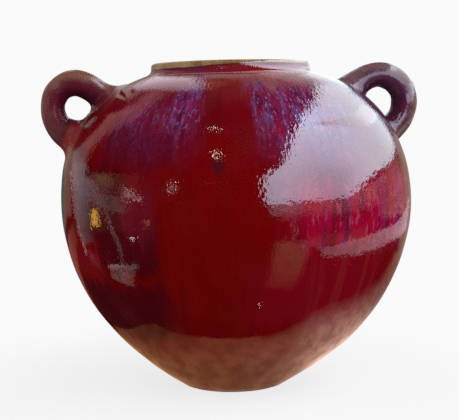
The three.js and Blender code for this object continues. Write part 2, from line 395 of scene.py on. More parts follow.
# ------------------------------------------------------------------- materials
class Nodes:
    """Small helper for laying out a shader tree."""

    def __init__(self, name):
        self.m = bpy.data.materials.new(name)
        self.m.use_nodes = True
        self.t = self.m.node_tree
        self.t.nodes.clear()
        self.out = self.t.nodes.new("ShaderNodeOutputMaterial")
        self.bsdf = self.t.nodes.new("ShaderNodeBsdfPrincipled")
        self.t.links.new(self.bsdf.outputs["BSDF"], self.out.inputs["Surface"])
        self.coord = self.t.nodes.new("ShaderNodeTexCoord")
        self.xyz = self.t.nodes.new("ShaderNodeSeparateXYZ")
        self.t.links.new(self.coord.outputs["Object"], self.xyz.inputs[0])
        # the same point on a cylinder: bearing, and distance along the wall
        flat = self.t.nodes.new("ShaderNodeCombineXYZ")
        self.link(self.xyz.outputs["X"], flat.inputs[0])
        self.link(self.xyz.outputs["Y"], flat.inputs[1])
        unit = self.t.nodes.new("ShaderNodeVectorMath")
        unit.operation = "NORMALIZE"
        self.link(flat.outputs[0], unit.inputs[0])
        self.unit = unit.outputs[0]
        span = self.t.nodes.new("ShaderNodeVectorMath")
        span.operation = "LENGTH"
        self.link(flat.outputs[0], span.inputs[0])
        out = self.t.nodes.new("ShaderNodeVectorMath")
        out.operation = "SCALE"
        out.inputs["Scale"].default_value = 0.125
        self.link(self.unit, out.inputs[0])
        rise = self.math("MULTIPLY", self.math("ARCTAN2", self.math("SUBTRACT", self.xyz.outputs["Z"], 0.135), span.outputs["Value"]), 0.138)
        up = self.t.nodes.new("ShaderNodeCombineXYZ")
        self.link(rise, up.inputs[2])
        both = self.t.nodes.new("ShaderNodeVectorMath")
        both.operation = "ADD"
        self.link(out.outputs[0], both.inputs[0])
        self.link(up.outputs[0], both.inputs[1])
        self.around = both.outputs[0]

    def link(self, a, b):
        self.t.links.new(a, b)

    def _in(self, socket, value):
        if hasattr(value, "is_output"):
            self.link(value, socket)
        elif isinstance(value, (tuple, list)) and len(value) == 3 and socket.type == "RGBA":
            socket.default_value = (*value, 1.0)
        else:
            socket.default_value = value

    def math(self, op, a, b=0.0, clamp=False):
        n = self.t.nodes.new("ShaderNodeMath")
        n.operation = op
        n.use_clamp = clamp
        self._in(n.inputs[0], a)
        self._in(n.inputs[1], b)
        return n.outputs[0]

    def mix(self, factor, a, b, blend="MIX"):
        n = self.t.nodes.new("ShaderNodeMix")
        n.data_type = "RGBA"
        n.blend_type = blend
        n.clamp_factor = True
        self._in(n.inputs["Factor"], factor)
        self._in(n.inputs[6], a)
        self._in(n.inputs[7], b)
        return n.outputs[2]

    def noise(self, scale, stretch=(1, 1, 1), detail=3.0, rough=0.55, offset=(0, 0, 0), distortion=0.0, around=False):
        m = self.t.nodes.new("ShaderNodeMapping")
        m.inputs["Scale"].default_value = stretch
        m.inputs["Location"].default_value = offset
        self.link(self.around if around else self.coord.outputs["Object"], m.inputs["Vector"])
        n = self.t.nodes.new("ShaderNodeTexNoise")
        n.inputs["Scale"].default_value = scale
        n.inputs["Detail"].default_value = detail
        n.inputs["Roughness"].default_value = rough
        n.inputs["Distortion"].default_value = distortion
        self.link(m.outputs[0], n.inputs["Vector"])
        return n.outputs["Fac"]

    def voronoi(self, scale, stretch=(1, 1, 1), rand=1.0):
        m = self.t.nodes.new("ShaderNodeMapping")
        m.inputs["Scale"].default_value = stretch
        self.link(self.coord.outputs["Object"], m.inputs["Vector"])
        n = self.t.nodes.new("ShaderNodeTexVoronoi")
        n.inputs["Scale"].default_value = scale
        n.inputs["Randomness"].default_value = rand
        self.link(m.outputs[0], n.inputs["Vector"])
        return n.outputs["Distance"]

    def between(self, value, a, b, c=0.0, d=1.0, smooth=True):
        n = self.t.nodes.new("ShaderNodeMapRange")
        n.interpolation_type = "SMOOTHSTEP" if smooth else "LINEAR"
        self._in(n.inputs["Value"], value)
        n.inputs["From Min"].default_value = a
        n.inputs["From Max"].default_value = b
        n.inputs["To Min"].default_value = c
        n.inputs["To Max"].default_value = d
        return n.outputs["Result"]

    def ramp(self, value, stops):
        """stops: (position 0..1, linear colour)"""
        n = self.t.nodes.new("ShaderNodeValToRGB")
        self._in(n.inputs["Fac"], value)
        r = n.color_ramp
        r.interpolation = "EASE"
        r.elements[0].position, r.elements[0].color = stops[0][0], (*stops[0][1], 1)
        r.elements[1].position, r.elements[1].color = stops[-1][0], (*stops[-1][1], 1)
        for p, c in stops[1:-1]:
            e = r.elements.new(p)
            e.color = (*c, 1)
        return n.outputs["Color"]

    def attribute(self, name):
        n = self.t.nodes.new("ShaderNodeAttribute")
        n.attribute_name = name
        return n.outputs["Fac"]

    def bump(self, height, distance, before=None):
        n = self.t.nodes.new("ShaderNodeBump")
        n.inputs["Strength"].default_value = 1.0
        n.inputs["Distance"].default_value = distance
        self._in(n.inputs["Height"], height)
        if before is not None:
            self.link(before, n.inputs["Normal"])
        return n.outputs["Normal"]


def glaze_relief(n, amount=1.0, around=True):
    """Orange peel, slow runs, throwing marks and pin pits under a glassy coat."""
    slow = n.bump(n.noise(22.0, detail=2.0, offset=(3.1, 1.7, 0.4)), 0.00036 * amount)
    runs = n.bump(n.noise(110.0, (1, 1, 0.2), detail=2.0, offset=(0.3, 0.9, 0), around=around), 0.00005 * amount, slow)
    rings = n.bump(n.noise(60.0, (0.05, 0.05, 1), detail=2.0), 0.00005 * amount, runs)
    fine = n.noise(500.0, (1, 1, 0.66), detail=1.0, rough=0.5, offset=(2, 2, 7), around=around)
    if around:
        # the coat is smoother low on the wall
        fine = n.math("MULTIPLY", fine, n.between(n.xyz.outputs["Z"], 0.100, 0.195, 0.35, 1.0))
    grain = n.bump(fine, 0.00017 * amount, rings)
    pits = n.between(n.voronoi(210.0), 0.0, 0.16)
    return n.bump(pits, 0.00005 * amount, grain)


def finish_glaze(n, colour, rough_lo=0.05, rough_hi=0.11, amount=1.0, around=True, specular=0.5):
    n._in(n.bsdf.inputs["Base Color"], colour)
    n._in(n.bsdf.inputs["Roughness"], n.between(n.noise(35.0, detail=3.0, offset=(5, 2, 1)), 0.35, 0.7, rough_lo, rough_hi))
    n.bsdf.inputs["IOR"].default_value = 1.5
    n.bsdf.inputs["Specular IOR Level"].default_value = specular
    n.link(glaze_relief(n, amount, around), n.bsdf.inputs["Normal"])
    return n.m


def body_colour(n):
    z = n.xyz.outputs["Z"]
    warp = n.between(n.noise(24.0, (1, 1, 0.6), detail=5.0), 0.25, 0.75, -0.022, 0.022, smooth=False)
    ragged = n.between(n.noise(46.0, (1, 1, 0.22), detail=5.0, rough=0.65, around=True), 0.25, 0.75, -1.0, 1.0, smooth=False)
    fringe = n.between(n.noise(190.0, (1, 1, 0.16), detail=4.0, rough=0.65, offset=(2, 6, 1), around=True), 0.25, 0.75, -1.0, 1.0, smooth=False)
    ragged = n.math("ADD", n.math("MULTIPLY", ragged, 0.8), n.math("MULTIPLY", fringe, 0.8))

    def area(x, y, zz, inner, outer):
        """Soft, ragged patch of glaze round a point on the jar (metres)."""
        d = n.t.nodes.new("ShaderNodeVectorMath")
        d.operation = "DISTANCE"
        n.link(n.coord.outputs["Object"], d.inputs[0])
        d.inputs[1].default_value = (x, y, zz)
        return n.between(n.math("ADD", d.outputs["Value"], warp), outer, inner)

    def sector(angle, inner, outer, lo, hi, soft_lo, soft_hi, rag=5.0):
        """Ragged run of glaze between two heights, round one bearing (degrees)."""
        d = n.t.nodes.new("ShaderNodeVectorMath")
        d.operation = "DOT_PRODUCT"
        n.link(n.unit, d.inputs[0])
        d.inputs[1].default_value = (math.cos(math.radians(angle)), math.sin(math.radians(angle)), 0.0)
        turn = n.math("MULTIPLY", n.math("ARCCOSINE", n.math("MINIMUM", d.outputs["Value"], 0.99999)), 57.2958)
        turn = n.math("ADD", turn, n.math("MULTIPLY", ragged, rag))
        side = n.between(turn, outer, inner)
        zz = n.math("ADD", z, n.math("MULTIPLY", ragged, 0.010))
        ends = n.math("MULTIPLY", n.between(zz, lo - soft_lo, lo + soft_lo), n.between(zz, hi + soft_hi, hi - soft_hi))
        return n.math("MULTIPLY", side, ends)

    broken = n.math("ADD", z, n.between(n.noise(16.0, (1, 1, 0.35), detail=4.0), 0.25, 0.75, -0.014, 0.014, smooth=False))
    h = n.between(broken, 0.0, 0.26, smooth=False)
    colour = n.ramp(h, [
        (0.00, (0.080, 0.0160, 0.0080)),
        (0.05, (0.075, 0.0030, 0.0020)),
        (0.20, (0.095, 0.0002, 0.0002)),
        (0.50, (0.092, 0.0002, 0.0002)),
        (0.70, (0.090, 0.0002, 0.0010)),
        (0.82, (0.086, 0.0008, 0.0036)),
        (0.89, (0.100, 0.0060, 0.0080)),
        # the tan top stops, on the shoulder just under the neck: partly thin glaze, partly painted reflection of the
        # bright room above
        (0.93, (0.165, 0.0300, 0.0230)),
        (0.96, (0.210, 0.0750, 0.0550)),
    ])
    # fine threads down the whole wall
    threads = n.between(n.noise(330.0, (1, 1, 0.05), detail=3.0, offset=(3, 3, 3), around=True), 0.30, 0.70, 0.0, 0.24)
    colour = n.mix(threads, colour, (0.052, 0.0002, 0.0006))
    # pale pink on the shoulder just under the collar: partly thin glaze, partly painted reflection of the bright room
    # above; a maroon band right under the collar on the -X side
    top = sector(-72, 16, 34, 0.232, 0.260, 0.004, 0.004)
    colour = n.mix(n.math("MULTIPLY", top, 0.65), colour, (0.150, 0.048, 0.066))
    west = n.between(n.xyz.outputs["X"], 0.004, -0.014)
    colour = n.mix(n.math("MULTIPLY", west, n.between(z, 0.2402, 0.2424, 0.0, 0.75)), colour, (0.150, 0.070, 0.078))
    colour = n.mix(n.math("MULTIPLY", west, n.between(z, 0.2441, 0.2448)), colour, (0.085, 0.0075, 0.0200))
    # maroon, where the copper is denser
    deep = n.math("MAXIMUM", sector(-147, 7, 15, 0.118, 0.178, 0.008, 0.010, 3.0), sector(-142, 13, 19, 0.101, 0.142, 0.006, 0.006, 2.5))
    deep = n.math("MAXIMUM", deep, sector(-145, 14, 29, 0.052, 0.094, 0.006, 0.008, 3.0))
    deep = n.math("MAXIMUM", deep, n.math("MULTIPLY", sector(-134, 8, 18, 0.178, 0.208, 0.008, 0.010, 4.0), 0.7))
    dense = n.between(n.noise(19.0, (1, 1, 0.6), detail=5.0, offset=(7, 3, 2)), 0.50, 0.74, 0.0, 0.34)
    colour = n.mix(n.math("MAXIMUM", dense, n.math("MULTIPLY", deep, 0.86)), colour, (0.031, 0.0006, 0.0022))
    rose = sector(-132.5, 3, 7.5, 0.126, 0.170, 0.008, 0.012, 2.5)
    colour = n.mix(n.math("MULTIPLY", rose, 0.8), colour, (0.078, 0.0030, 0.0085))
    # crimson and magenta columns
    columns = n.between(n.noise(70.0, (1, 1, 0.06), detail=4.0, offset=(6, 2, 1), around=True), 0.47, 0.62)
    right_side = n.math("MAXIMUM", sector(-60, 18, 32, 0.120, 0.166, 0.010, 0.010), sector(-30, 16, 30, 0.118, 0.170, 0.010, 0.010))
    colour = n.mix(n.math("MULTIPLY", right_side, 0.92), colour, (0.178, 0.0009, 0.0150))
    colour = n.mix(n.math("MULTIPLY", n.math("MULTIPLY", right_side, columns), 0.85), colour, (0.120, 0.0040, 0.0480))
    shade = n.between(n.noise(120.0, (1, 1, 0.16), detail=5.0, rough=0.65, offset=(2, 7, 4), around=True), 0.48, 0.60)
    colour = n.mix(n.math("MULTIPLY", n.math("MULTIPLY", right_side, shade), 0.75), colour, (0.060, 0.0010, 0.0080))
    flecks = n.between(n.noise(300.0, (1, 1, 0.40), detail=3.0, rough=0.6, offset=(4, 1, 7), around=True), 0.57, 0.67)
    colour = n.mix(n.math("MULTIPLY", n.math("MULTIPLY", right_side, flecks), 0.60), colour, (0.250, 0.0300, 0.0700))
    low_right = sector(-72, 16, 32, 0.062, 0.114, 0.010, 0.010)
    colour = n.mix(n.math("MULTIPLY", low_right, 0.70), colour, (0.112, 0.0006, 0.0058))
    worn = n.math("MULTIPLY", sector(-46, 22, 38, 0.058, 0.114, 0.010, 0.010), n.between(n.noise(150.0, (1, 1, 0.05), detail=4.0, offset=(1, 1, 9), around=True), 0.46, 0.68))
    colour = n.mix(n.math("MULTIPLY", worn, 0.26), colour, (0.150, 0.0180, 0.0150))
    bright_left = sector(-163, 7, 17, 0.092, 0.124, 0.008, 0.010)
    colour = n.mix(n.math("MULTIPLY", bright_left, 0.75), colour, (0.125, 0.0020, 0.0030))
    # magenta and violet runs from the shoulder
    behind = n.between(n.xyz.outputs["Y"], -0.035, 0.045)
    high = n.math("MULTIPLY", n.between(z, 0.125, 0.195), n.between(z, 0.246, 0.234))
    cloud = n.between(n.noise(13.0, (1, 1, 0.5), detail=4.0, offset=(1, 5, 8)), 0.42, 0.62)
    cloud = n.math("MULTIPLY", n.math("MULTIPLY", cloud, high), behind)
    runs_r = sector(-77, 8, 23, 0.186, 0.236, 0.016, 0.005, 6.0)
    runs_l = sector(-121, 3, 8, 0.200, 0.238, 0.010, 0.005, 2.5)
    wide_l = sector(-131, 8, 22, 0.186, 0.228, 0.014, 0.010)
    magenta = n.math("MAXIMUM", n.math("MAXIMUM", cloud, runs_r), n.math("MAXIMUM", runs_l, n.math("MULTIPLY", wide_l, 0.45)))
    patchy = n.between(n.noise(55.0, (1, 1, 0.5), detail=4.0, offset=(4, 4, 6), around=True), 0.36, 0.60, 0.55, 1.0)
    colour = n.mix(n.math("MULTIPLY", n.math("MULTIPLY", magenta, patchy), 0.90), colour, (0.092, 0.0066, 0.0400))
    zone = n.math("MAXIMUM", n.math("MAXIMUM", cloud, runs_r), n.math("MAXIMUM", runs_l, n.math("MULTIPLY", wide_l, 0.30)))
    upper_zone = n.math("MULTIPLY", zone, n.between(z, 0.190, 0.222, 0.30, 1.0))
    streak = n.between(n.noise(210.0, (1, 1, 0.22), detail=5.0, rough=0.68, around=True), 0.46, 0.58)
    drift = n.between(n.noise(48.0, (1, 1, 0.35), detail=3.0, offset=(9, 1, 3), around=True), 0.36, 0.62, 0.25, 1.0)
    colour = n.mix(n.math("MULTIPLY", n.math("MULTIPLY", n.math("MULTIPLY", streak, upper_zone), drift), 0.95), colour, (0.066, 0.040, 0.125))
    dark = n.between(n.noise(260.0, (1, 1, 0.22), detail=4.0, rough=0.65, offset=(5, 1, 0), around=True), 0.50, 0.62)
    colour = n.mix(n.math("MULTIPLY", n.math("MULTIPLY", dark, zone), 0.80), colour, (0.034, 0.0015, 0.014))
    fine = n.between(n.noise(620.0, (1, 1, 0.35), detail=2.0, offset=(1, 4, 0), around=True), 0.56, 0.68)
    colour = n.mix(n.math("MULTIPLY", n.math("MULTIPLY", fine, upper_zone), 0.55), colour, (0.230, 0.130, 0.300))
    crimson = n.between(n.noise(170.0, (1, 1, 0.3), detail=4.0, offset=(7, 7, 2), around=True), 0.54, 0.66)
    colour = n.mix(n.math("MULTIPLY", n.math("MULTIPLY", crimson, zone), 0.70), colour, (0.135, 0.0020, 0.0200))
    # thin, tan glaze round the roots of the handles
    roots = n.math("MAXIMUM", n.math("MAXIMUM", area(-0.103, 0.0, 0.2280, 0.008, 0.030), area(-0.122, 0.0, 0.2040, 0.010, 0.028)),
                   n.math("MAXIMUM", area(0.099, 0.0, 0.2310, 0.008, 0.026), area(0.121, 0.0, 0.2030, 0.010, 0.026)))
    worn = n.between(n.noise(120.0, (1, 1, 0.5), detail=5.0, rough=0.65, offset=(8, 3, 3)), 0.36, 0.62, 0.25, 0.9)
    colour = n.mix(n.math("MULTIPLY", roots, worn), colour, (0.125, 0.052, 0.034))
    # dark lilac beside the right handle's root, on the front: painted shadow of the handle
    root_shadow_paint = n.math("MAXIMUM", area(0.088, -0.052, 0.2290, 0.014, 0.034), area(0.098, -0.060, 0.2120, 0.008, 0.026))
    colour = n.mix(n.math("MULTIPLY", root_shadow_paint, 0.75), colour, (0.040, 0.0220, 0.0500))
    # orange-red where the glaze is thin on the lower wall
    low = n.math("MULTIPLY", n.between(n.noise(28.0, (1, 1, 0.25), detail=4.0, offset=(2, 9, 5)), 0.55, 0.75), n.between(z, 0.10, 0.02))
    colour = n.mix(n.math("MULTIPLY", low, 0.4), colour, (0.130, 0.018, 0.006))
    # one darker blot on the shoulder
    d = n.t.nodes.new("ShaderNodeVectorMath")
    d.operation = "DISTANCE"
    n.link(n.coord.outputs["Object"], d.inputs[0])
    d.inputs[1].default_value = (-0.0400, -0.1285, 0.1795)
    blot = n.between(n.math("ADD", d.outputs["Value"], n.math("MULTIPLY", ragged, 0.0022)), 0.0064, 0.0026)
    colour = n.mix(n.math("MULTIPLY", blot, 0.75), colour, (0.034, 0.0020, 0.0060))
    # pin pits and specks
    speck = n.between(n.voronoi(420.0), 0.05, 0.11, 1.0, 0.0)
    colour = n.mix(n.math("MULTIPLY", speck, 0.35), colour, (0.010, 0.0015, 0.002))
    return colour


g_body = Nodes("glaze_body")
m_body = finish_glaze(g_body, body_colour(g_body), amount=0.80)

g_sh = Nodes("glaze_shoulder")
m_shoulder = finish_glaze(g_sh, body_colour(g_sh), amount=0.80)

OLIVE, OLIVE_DARK, MAROON = (0.200, 0.135, 0.058), (0.135, 0.075, 0.032), (0.085, 0.0075, 0.0150)


def rim_colour(n):
    """Olive crown, maroon below it: the line between them sinks towards -X."""
    x, z = n.xyz.outputs["X"], n.xyz.outputs["Z"]
    thin = n.mix(n.between(n.noise(42.0, detail=4.0, offset=(2, 2, 2)), 0.35, 0.68), OLIVE, OLIVE_DARK)
    thin = n.mix(n.between(n.noise(90.0, (1, 1, 0.5), detail=4.0, offset=(8, 2, 2)), 0.52, 0.66, 0.0, 0.6), thin, (0.09, 0.030, 0.014))
    red = n.mix(n.between(n.noise(30.0, detail=4.0), 0.4, 0.65), (0.100, 0.0040, 0.008), (0.075, 0.008, 0.026))
    red = n.mix(n.between(x, -0.030, -0.004), red, (0.110, 0.0040, 0.0070))
    edge_z = n.math("ADD", z, n.between(n.noise(80.0, (1, 1, 0.4), detail=4.0), 0.3, 0.7, -0.0004, 0.0004))
    edge_z = n.math("SUBTRACT", edge_z, n.between(x, -0.055, 0.002, 0.0, 0.0024))
    seam = n.math("MULTIPLY", n.between(edge_z, 0.2492, 0.2502), n.between(edge_z, 0.2511, 0.2504))
    c = n.mix(n.between(edge_z, 0.2503, 0.2509), red, thin)
    return n.mix(n.math("MULTIPLY", seam, 0.55), c, (0.040, 0.0060, 0.0060))


g_co = Nodes("glaze_collar")
c = rim_colour(g_co)
# a pale line painted along the foot of the collar, which rises towards +X: a painted highlight of the cove
cove_highlight_z = g_co.math("SUBTRACT", g_co.xyz.outputs["Z"], g_co.between(g_co.xyz.outputs["X"], -0.020, 0.024, 0.0, 0.0016))
c = g_co.mix(g_co.math("MULTIPLY", g_co.between(cove_highlight_z, 0.2462, 0.2455), 0.85), c, (0.26, 0.125, 0.125))
m_collar = finish_glaze(g_co, c, 0.07, 0.14, 0.6)

g_li = Nodes("glaze_lip")
m_lip = finish_glaze(g_li, rim_colour(g_li), 0.07, 0.16, 0.6)

g_ha = Nodes("glaze_handle")
crest, root = g_ha.attribute("crest"), g_ha.attribute("root")
right = g_ha.between(g_ha.xyz.outputs["X"], -0.02, 0.02)
high = g_ha.between(g_ha.xyz.outputs["Z"], 0.212, 0.244, 0.30, 1.0)
uneven = g_ha.between(g_ha.noise(70.0, detail=5.0, rough=0.6), 0.3, 0.7, -0.16, 0.16, smooth=False)
base = g_ha.mix(right, (0.060, 0.0035, 0.0100), (0.052, 0.0130, 0.0330))
base = g_ha.mix(g_ha.between(g_ha.noise(38.0, detail=4.0, offset=(4, 4, 1)), 0.42, 0.66, 0.0, 0.7), base, (0.078, 0.0035, 0.0160))
# the loop's inner side, facing the jar, is painted darker: painted shade
hollow_shade_colour = g_ha.mix(right, (0.036, 0.0016, 0.0070), (0.030, 0.0060, 0.0200))
ridge = g_ha.mix(right, (0.110, 0.0440, 0.0310), (0.090, 0.0480, 0.0520))
shade = g_ha.between(g_ha.math("ADD", crest, uneven), 0.46, 0.20, 0.0, 0.9)
c = g_ha.mix(shade, base, hollow_shade_colour)
edge = g_ha.math("MULTIPLY", g_ha.between(g_ha.math("ADD", crest, uneven), 0.52, 0.82, 0.0, 0.95), g_ha.math("MAXIMUM", high, right))
c = g_ha.mix(edge, c, ridge)
low_root = g_ha.math("MULTIPLY", g_ha.math("MULTIPLY", g_ha.between(g_ha.xyz.outputs["Z"], 0.215, 0.205), g_ha.between(root, 0.0, 0.35)), g_ha.math("SUBTRACT", 1.0, right))
c = g_ha.mix(g_ha.math("MULTIPLY", low_root, 0.7), c, (0.150, 0.0120, 0.0110))
tan = g_ha.between(g_ha.math("ADD", root, g_ha.math("MULTIPLY", uneven, 1.6)), 0.65, 1.15, 0.0, 0.45)
c = g_ha.mix(tan, c, (0.110, 0.040, 0.034))
# pale specks on the outer crest: painted glints
pale = g_ha.between(g_ha.noise(260.0, detail=3.0, rough=0.6, offset=(3, 6, 1)), 0.56, 0.70, 0.0, 0.45)
c = g_ha.mix(g_ha.math("MULTIPLY", g_ha.math("MULTIPLY", pale, g_ha.between(crest, 0.55, 0.85)), g_ha.math("MAXIMUM", high, right)), c, (0.180, 0.110, 0.085))
speck = g_ha.between(g_ha.voronoi(420.0), 0.05, 0.11, 1.0, 0.0)
c = g_ha.mix(g_ha.math("MULTIPLY", speck, 0.35), c, (0.010, 0.002, 0.003))
m_handle = finish_glaze(g_ha, c, 0.15, 0.25, 0.75, around=False, specular=0.36)
satin = g_ha.between(g_ha.noise(35.0, detail=3.0, offset=(5, 2, 1)), 0.35, 0.7, 0.0, 0.10)
g_ha._in(g_ha.bsdf.inputs["Roughness"], g_ha.math("ADD", satin, g_ha.between(g_ha.xyz.outputs["X"], -0.02, 0.02, 0.24, 0.14)))

g_fo = Nodes("foot_clay")
c = g_fo.mix(g_fo.between(g_fo.noise(60.0, detail=5.0), 0.35, 0.7), (0.20, 0.105, 0.062), (0.115, 0.050, 0.028))
c = g_fo.mix(g_fo.between(g_fo.noise(500.0, detail=2.0), 0.58, 0.70, 0.0, 0.6), c, (0.05, 0.022, 0.014))
g_fo._in(g_fo.bsdf.inputs["Base Color"], c)
g_fo._in(g_fo.bsdf.inputs["Roughness"], g_fo.between(g_fo.noise(80.0), 0.3, 0.7, 0.62, 0.82))
g_fo.link(g_fo.bump(g_fo.noise(420.0, detail=4.0), 0.00012), g_fo.bsdf.inputs["Normal"])
m_foot = g_fo.m

for obj, mat, node, slot in (
    (foot, m_foot, "foot_ring", "foot_clay"),
    (lower, m_body, "lower_bowl", "bowl_glaze"),
    (upper, m_shoulder, "upper_dome", "shoulder_glaze"),
    (collar, m_collar, "neck_collar", "collar_glaze"),
    (lip, m_lip, "rim_lip", "lip_glaze"),
    (handle_l, m_handle, "handle_left", "handle_glaze"),
    (handle_r, m_handle, "handle_right", "handle_glaze"),
):
    obj.data.materials.append(mat)
    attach(obj, "root")
    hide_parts(node)


# -------------------------------------------------------------- stage and light
def emitter(name, colour, strength):
    m = bpy.data.materials.new(name)
    m.use_nodes = True
    t = m.node_tree
    t.nodes.clear()
    e = t.nodes.new("ShaderNodeEmission")
    e.inputs["Color"].default_value = (*colour, 1)
    e.inputs["Strength"].default_value = strength
    o = t.nodes.new("ShaderNodeOutputMaterial")
    t.links.new(e.outputs[0], o.inputs["Surface"])
    return m


CAM_AZ = math.radians(-12.0)
TOWARDS = np.array([math.sin(CAM_AZ), -math.cos(CAM_AZ), 0.0])
RIGHT = np.array([math.cos(CAM_AZ), math.sin(CAM_AZ), 0.0])


def sky_point(az, el, distance=8.0, centre=(0.0, 0.0, 0.15)):
    a, e = math.radians(az), math.radians(el)
    d = (TOWARDS * math.cos(a) + RIGHT * math.sin(a)) * math.cos(e) + np.array([0, 0, math.sin(e)])
    return np.array(centre) + distance * d


def glow(name, colour, strength, mottle=None, tone=None):
    """Emission that follows the panel's own "level" attribute. mottle: (noise
    scale, least, most) breaks it up; tone: a second colour for the attribute "tone"."""
    m = emitter(name, colour, strength)
    t = m.node_tree
    e = next(n for n in t.nodes if n.type == "EMISSION")
    level = t.nodes.new("ShaderNodeAttribute")
    level.attribute_name = "level"
    k = t.nodes.new("ShaderNodeMath")
    k.operation = "MULTIPLY"
    k.inputs[1].default_value = strength
    t.links.new(level.outputs["Fac"], k.inputs[0])
    if mottle:
        c_ = t.nodes.new("ShaderNodeTexCoord")
        n_ = t.nodes.new("ShaderNodeTexNoise")
        n_.inputs["Scale"].default_value = mottle[0]
        n_.inputs["Detail"].default_value = 4.0
        n_.inputs["Roughness"].default_value = 0.62
        r_ = t.nodes.new("ShaderNodeMapRange")
        r_.inputs["From Min"].default_value, r_.inputs["From Max"].default_value = 0.40, 0.62
        r_.inputs["To Min"].default_value, r_.inputs["To Max"].default_value = mottle[1], mottle[2]
        q = t.nodes.new("ShaderNodeMath")
        q.operation = "MULTIPLY"
        t.links.new(c_.outputs["Object"], n_.inputs["Vector"])
        t.links.new(n_.outputs["Fac"], r_.inputs["Value"])
        t.links.new(k.outputs[0], q.inputs[0])
        t.links.new(r_.outputs["Result"], q.inputs[1])
        k = q
    if tone:
        a_ = t.nodes.new("ShaderNodeAttribute")
        a_.attribute_name = "tone"
        x_ = t.nodes.new("ShaderNodeMix")
        x_.data_type = "RGBA"
        x_.inputs[6].default_value = (*colour, 1)
        x_.inputs[7].default_value = (*tone, 1)
        t.links.new(a_.outputs["Fac"], x_.inputs["Factor"])
        t.links.new(x_.outputs[2], e.inputs["Color"])
    top = t.nodes.new("ShaderNodeMath")
    top.operation = "MAXIMUM"
    top.inputs[1].default_value = 0.0
    t.links.new(k.outputs[0], top.inputs[0])
    t.links.new(top.outputs[0], e.inputs["Strength"])
    return m


def ribbon(name, pairs, colour, strength, distance=8.0, steps=8, across=6, glossy=True, diffuse=False, mottle=None, tone=None,
           centre=(0.0, 0.0, 0.15)):
    """pairs: (azimuth, elevation, azimuth, elevation, level, level, tone, tone) from
    one long edge of the panel to the other, in degrees, as seen from the jar."""
    full = {4: (1.0, 1.0, 0.0, 0.0), 6: (0.0, 0.0), 8: ()}
    rows = np.array([tuple(r) + ((r[4], 0.0, 0.0) if len(r) == 5 else full[len(r)]) for r in pairs], float)
    at = np.linspace(0, len(rows) - 1, (len(rows) - 1) * steps + 1)
    cols = [np.interp(at, range(len(rows)), rows[:, j]) for j in range(8)]
    verts, faces, levels, tones = [], [], [], []
    for a0, e0, a1, e1, l0, l1, t0, t1 in zip(*cols):
        for k in range(across + 1):
            f = k / across
            verts.append(tuple(sky_point(a0 + (a1 - a0) * f, e0 + (e1 - e0) * f, distance, centre)))
            levels.append(l0 + (l1 - l0) * f)
            tones.append(t0 + (t1 - t0) * f)
    for i in range(len(at) - 1):
        for k in range(across):
            q = i * (across + 1) + k
            faces.append((q, q + 1, q + across + 2, q + across + 1))
    o = mesh_object(name, verts, faces, attributes={"level": levels, "tone": tones})
    o.data.materials.append(glow(name, colour, strength, mottle, tone))
    o.visible_camera = False
    o.visible_glossy = glossy
    o.visible_diffuse = diffuse
    o.visible_shadow = False
    if not diffuse and abs(rows[0][0] - rows[-1][0]) > 12:
        # a large mirror image needs no light sampling of its own
        o.data.materials[0].cycles.emission_sampling = "NONE"
    return o


def sky_panel(name, outline, colour, strength, distance=8.0, **more):
    """outline: (azimuth, bottom, top, levels bottom and top, tones bottom and top)."""
    pairs = []
    for r in outline:
        lo_, hi_ = (1.0, 1.0) if len(r) == 3 else (r[3], r[3]) if len(r) == 4 else (r[3], r[4])
        pairs.append((r[0], r[1], r[0], r[2], lo_, hi_) + tuple(r[5:7]))
    return ribbon(name, pairs, colour, strength, distance, **more)


# the large window, upper right, as the glaze mirrors it
sky_panel("window", [
    (17.2, 4.5, 14.0, 0.60, 0.62, 1, 1), (18.5, 0.5, 16.5, 0.60, 0.66, 1, 1), (22, -0.5, 20, 0.60, 0.70, 1, 1), (28, -0.3, 23.5, 0.60, 0.80, 1, 0.8),
    (32, 0.0, 26.0, 0.58, 0.84, 1, 0.7), (36, 0.3, 33.0, 0.56, 0.88, 1, 0.7), (41, 0.6, 37.5, 0.54, 0.92, 1, 0.7), (48, 1.0, 44.5, 0.48, 0.98, 1, 0.7),
    (60, 1.4, 51.5, 0.40, 1.05, 1, 0.6), (74, 1.8, 56.5, 0.48, 1.06, 1, 0.6), (84, 4.6, 58.6, 0.62, 1.00, 0.9, 0.7), (96, 8.0, 59.0, 0.64, 0.84, 0.3, 0.9),
    (110, 9.8, 57.6, 0.50, 0.72, 0.1, 0.9), (123, 9.9, 55.0, 0.38, 0.62, 0.1, 0.4), (137, 9.8, 50.6, 0.30, 0.50, 0, 0.2), (144.5, 10.2, 47.2, 0.27, 0.42, 0, 0),
    (149.8, 18.0, 44.0, 0.26, 0.37, 0, 0), (153, 21.8, 41.4, 0.26, 0.34, 0, 0), (157, 22.0, 38.2, 0.25, 0.28, 0, 0), (160.5, 20.5, 35.0, 0.22, 0.21, 0, 0),
    (164, 18.5, 30.5, 0.19, 0.18, 0, 0), (167.5, 16.0, 26.0, 0.16, 0.15, 0, 0)], (0.72, 0.90, 1.0), 12.0, steps=6, across=10, mottle=(2.6, 0.93, 1.04), tone=(0.73, 0.83, 1.08))
sky_panel("window_side", [(143, 4.0, 10.0, 0.7, 0.9), (149, 3.0, 9.5, 0.9, 0.7), (156, 1.5, 7.5, 1.0, 0.5), (164, 0.5, 6.0, 0.9, 0.5)],
          (0.92, 0.90, 1.0), 0.75, distance=7.7, mottle=(5.0, 0.7, 1.2))
sky_panel("handle_shade", [(149, 9, 16.5, 0.9), (154, 8, 21.5), (160, 7, 20.3), (165, 6, 17), (169, 5, 12, 0.8)], (0.70, 0.78, 1.0), 0.20, distance=7.75)
